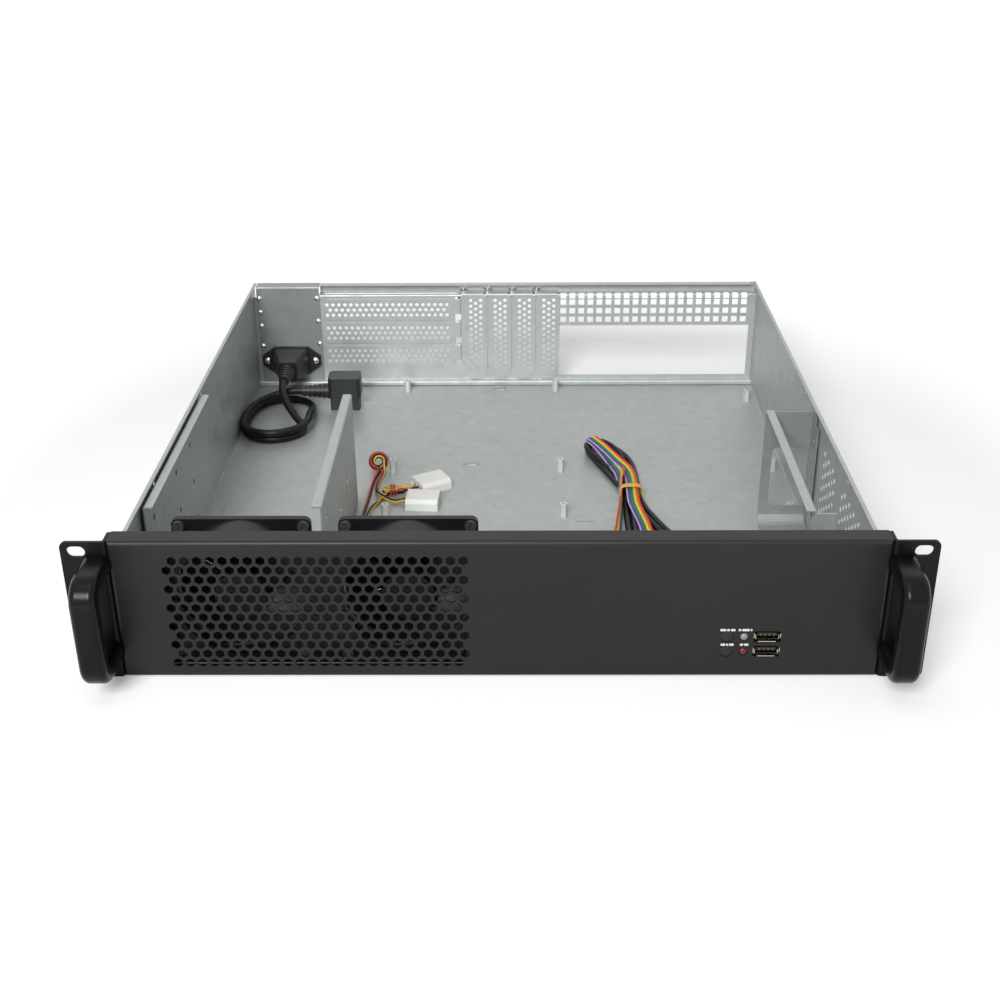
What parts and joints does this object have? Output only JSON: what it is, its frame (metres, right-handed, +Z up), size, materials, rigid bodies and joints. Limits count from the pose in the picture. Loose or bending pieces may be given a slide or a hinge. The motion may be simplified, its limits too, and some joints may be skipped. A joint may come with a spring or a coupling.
{
  "type": "empty rackmount server case",
  "caption": "Empty two-unit rackmount computer case without its lid: steel tray, vented black front panel with rack ears and handles, drive cage, fans, slotted rear wall and loose cables.",
  "frame": {"origin": "middle of the four rack slots, on the rear faces of the ears, where they meet the rack's rails", "axes": "+X to the case's right as seen from in front, +Y into the rack towards the rear wall, +Z up"},
  "size_m": [0.4826, 0.486, 0.0882],
  "materials": {
    "galvanised_steel": "spangled zinc, satin",
    "black_paint": "fine textured powder coat",
    "black_handle": "satin enamel",
    "bright_screw": "zinc plated, bright",
    "fan_plastic": "moulded, satin",
    "black_plastic": "moulded, satin",
    "clear_lens": "polished",
    "red_lens": "polished",
    "green_board": "lacquered board",
    "black_cable": "soft sheath",
    "red_wire": "smooth insulation",
    "black_wire": "smooth insulation",
    "yellow_wire": "smooth insulation",
    "ribbon_wire": "smooth insulation in a row of colours",
    "white_nylon": "moulded nylon",
    "mustard_tie": "moulded strap"
  },
  "bodies": {
    "chassis": {"base_tray": "galvanised_steel", "front_wall": "galvanised_steel", "front_panel": "black_paint", "ear_left": "black_paint", "ear_right": "black_paint", "handle_left": "black_handle", "handle_right": "black_handle", "handle_screws": "bright_screw", "rear_panel": "galvanised_steel", "inlet_plate": "galvanised_steel", "plate_rivets": "bright_screw", "full_cover_1": "galvanised_steel", "full_cover_2": "galvanised_steel", "full_cover_3": "galvanised_steel", "low_cover_1": "galvanised_steel", "low_cover_2": "galvanised_steel", "low_cover_3": "galvanised_steel", "low_cover_4": "galvanised_steel", "slot_screws": "bright_screw", "standoffs": "bright_screw", "drive_bracket_left": "galvanised_steel", "drive_bracket_right": "galvanised_steel", "side_bracket": "galvanised_steel", "side_rail": "galvanised_steel", "fan_frame_left": "fan_plastic", "fan_frame_right": "fan_plastic", "fan_screws": "bright_screw", "power_led": "clear_lens", "drive_led": "red_lens", "data_port_upper": "bright_screw", "data_port_lower": "bright_screw", "data_port_cores": "black_plastic", "control_board": "green_board", "panel_switches": "black_plastic", "board_screws": "bright_screw", "mains_inlet": "black_plastic", "inlet_screws": "bright_screw", "mains_cord": "black_cable", "mains_socket": "black_plastic", "fan_lead_left": "red_wire", "fan_lead_right": "black_wire", "lead_hank": "yellow_wire", "lead_coil": "red_wire", "lead_tail": "yellow_wire", "power_plug_upper": "white_nylon", "power_plug_lower": "white_nylon", "data_cable_feed": "black_cable", "data_cable_tail": "black_cable", "ribbon_feed": "ribbon_wire", "ribbon_tail": "ribbon_wire", "cable_hank": "black_cable", "cable_tie": "mustard_tie", "data_plug": "black_plastic", "ribbon_plug": "black_plastic", "board_plugs": "black_plastic"},
    "left_fan_rotor": {"fan_rotor_left": "fan_plastic"},
    "right_fan_rotor": {"fan_rotor_right": "fan_plastic"},
    "power_key": {"power_button": "black_plastic"},
    "reset_key": {"reset_button": "black_plastic"}
  },
  "joints": [
    {"name": "left_fan_spin", "type": "hinge", "parent": "chassis", "child": "left_fan_rotor", "pos_m": [-0.1477, 0.0235, 0.00045], "axis": [0, 1, 0], "continuous": true},
    {"name": "right_fan_spin", "type": "hinge", "parent": "chassis", "child": "right_fan_rotor", "pos_m": [-0.052, 0.0235, 0.00045], "axis": [0, 1, 0], "continuous": true},
    {"name": "power_key_press", "type": "slide", "parent": "chassis", "child": "power_key", "axis": [0, 1, 0], "range_m": [0, 0.001], "stiffness_N_per_m": 300, "springref_m": -0.002},
    {"name": "reset_key_press", "type": "slide", "parent": "chassis", "child": "reset_key", "axis": [0, 1, 0], "range_m": [0, 0.001], "stiffness_N_per_m": 300, "springref_m": -0.002}
  ]
}
